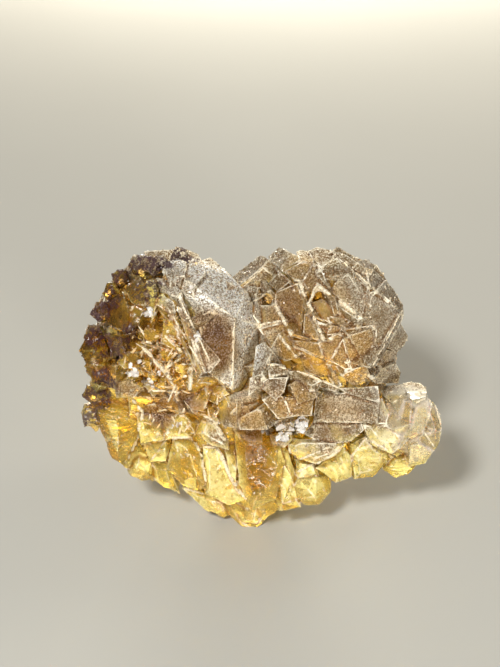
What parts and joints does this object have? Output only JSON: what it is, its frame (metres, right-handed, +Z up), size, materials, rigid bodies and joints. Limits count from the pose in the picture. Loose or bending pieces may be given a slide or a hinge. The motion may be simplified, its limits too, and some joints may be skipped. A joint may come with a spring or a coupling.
{
  "type": "honey fluorite specimen",
  "caption": "Natural mineral specimen: two rounded clusters of intergrown cubic crystals on a broken, see-through honey-yellow base, with a small flat spot to rest on.",
  "frame": {"origin": "middle of the small flat spot that the specimen rests on, at the resting plane", "axes": "+Z up, +X along the specimen's width towards the clear knob at its end, +Y away from the side that the base's broken front shows"},
  "size_m": [0.0486, 0.0286, 0.0367],
  "materials": {
    "honey_fluorite": "honey-yellow crystal with a frosted grey-tan coat on its upper faces"
  },
  "bodies": {
    "root": {"fluorite_cluster": "honey_fluorite"}
  },
  "joints": []
}
